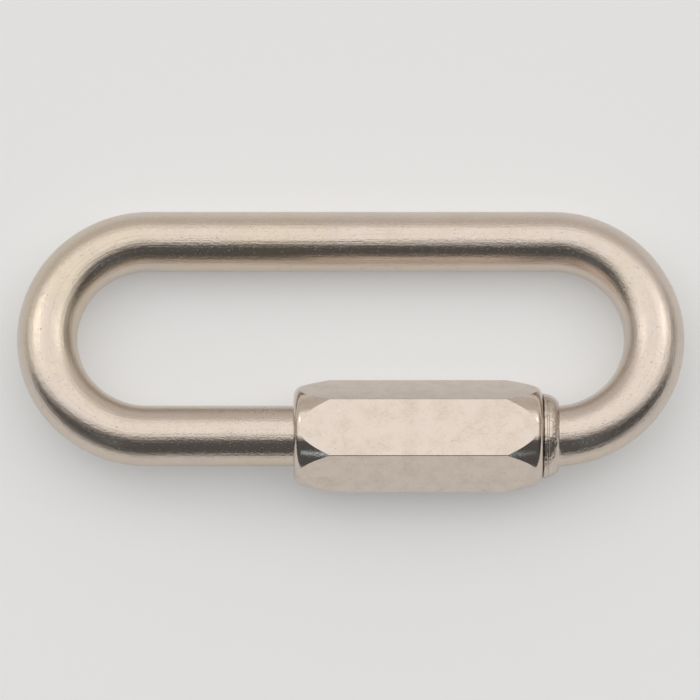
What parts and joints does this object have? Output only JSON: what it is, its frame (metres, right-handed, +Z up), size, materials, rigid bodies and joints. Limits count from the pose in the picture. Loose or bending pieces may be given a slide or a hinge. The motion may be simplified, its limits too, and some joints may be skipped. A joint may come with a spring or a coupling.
{
  "type": "chain quick link",
  "caption": "Oblong quick link of bent round steel bar, closed by a long hexagonal sleeve nut that screws back along the bar to open a gate.",
  "frame": {"origin": "centre of the footprint, on the surface that the link lies on", "axes": "+X along the nut's axis towards the stop collar, +Y across to the closed side, +Z up; the plane of the bar leans 5.3 degrees about X, as the link rests on a flat of its nut and on its closed side"},
  "size_m": [0.0885, 0.0382, 0.013],
  "materials": {
    "plated_bar": "bright zinc plate over drawn bar",
    "plated_nut": "bright zinc plate over hexagonal bar"
  },
  "bodies": {
    "link": {"link_bar": "plated_bar"},
    "nut": {"sleeve_nut": "plated_nut"}
  },
  "joints": [
    {"name": "nut_travel", "type": "slide", "parent": "link", "child": "nut", "axis": [-1, 0, 0], "range_m": [0, 0.0195]}
  ]
}
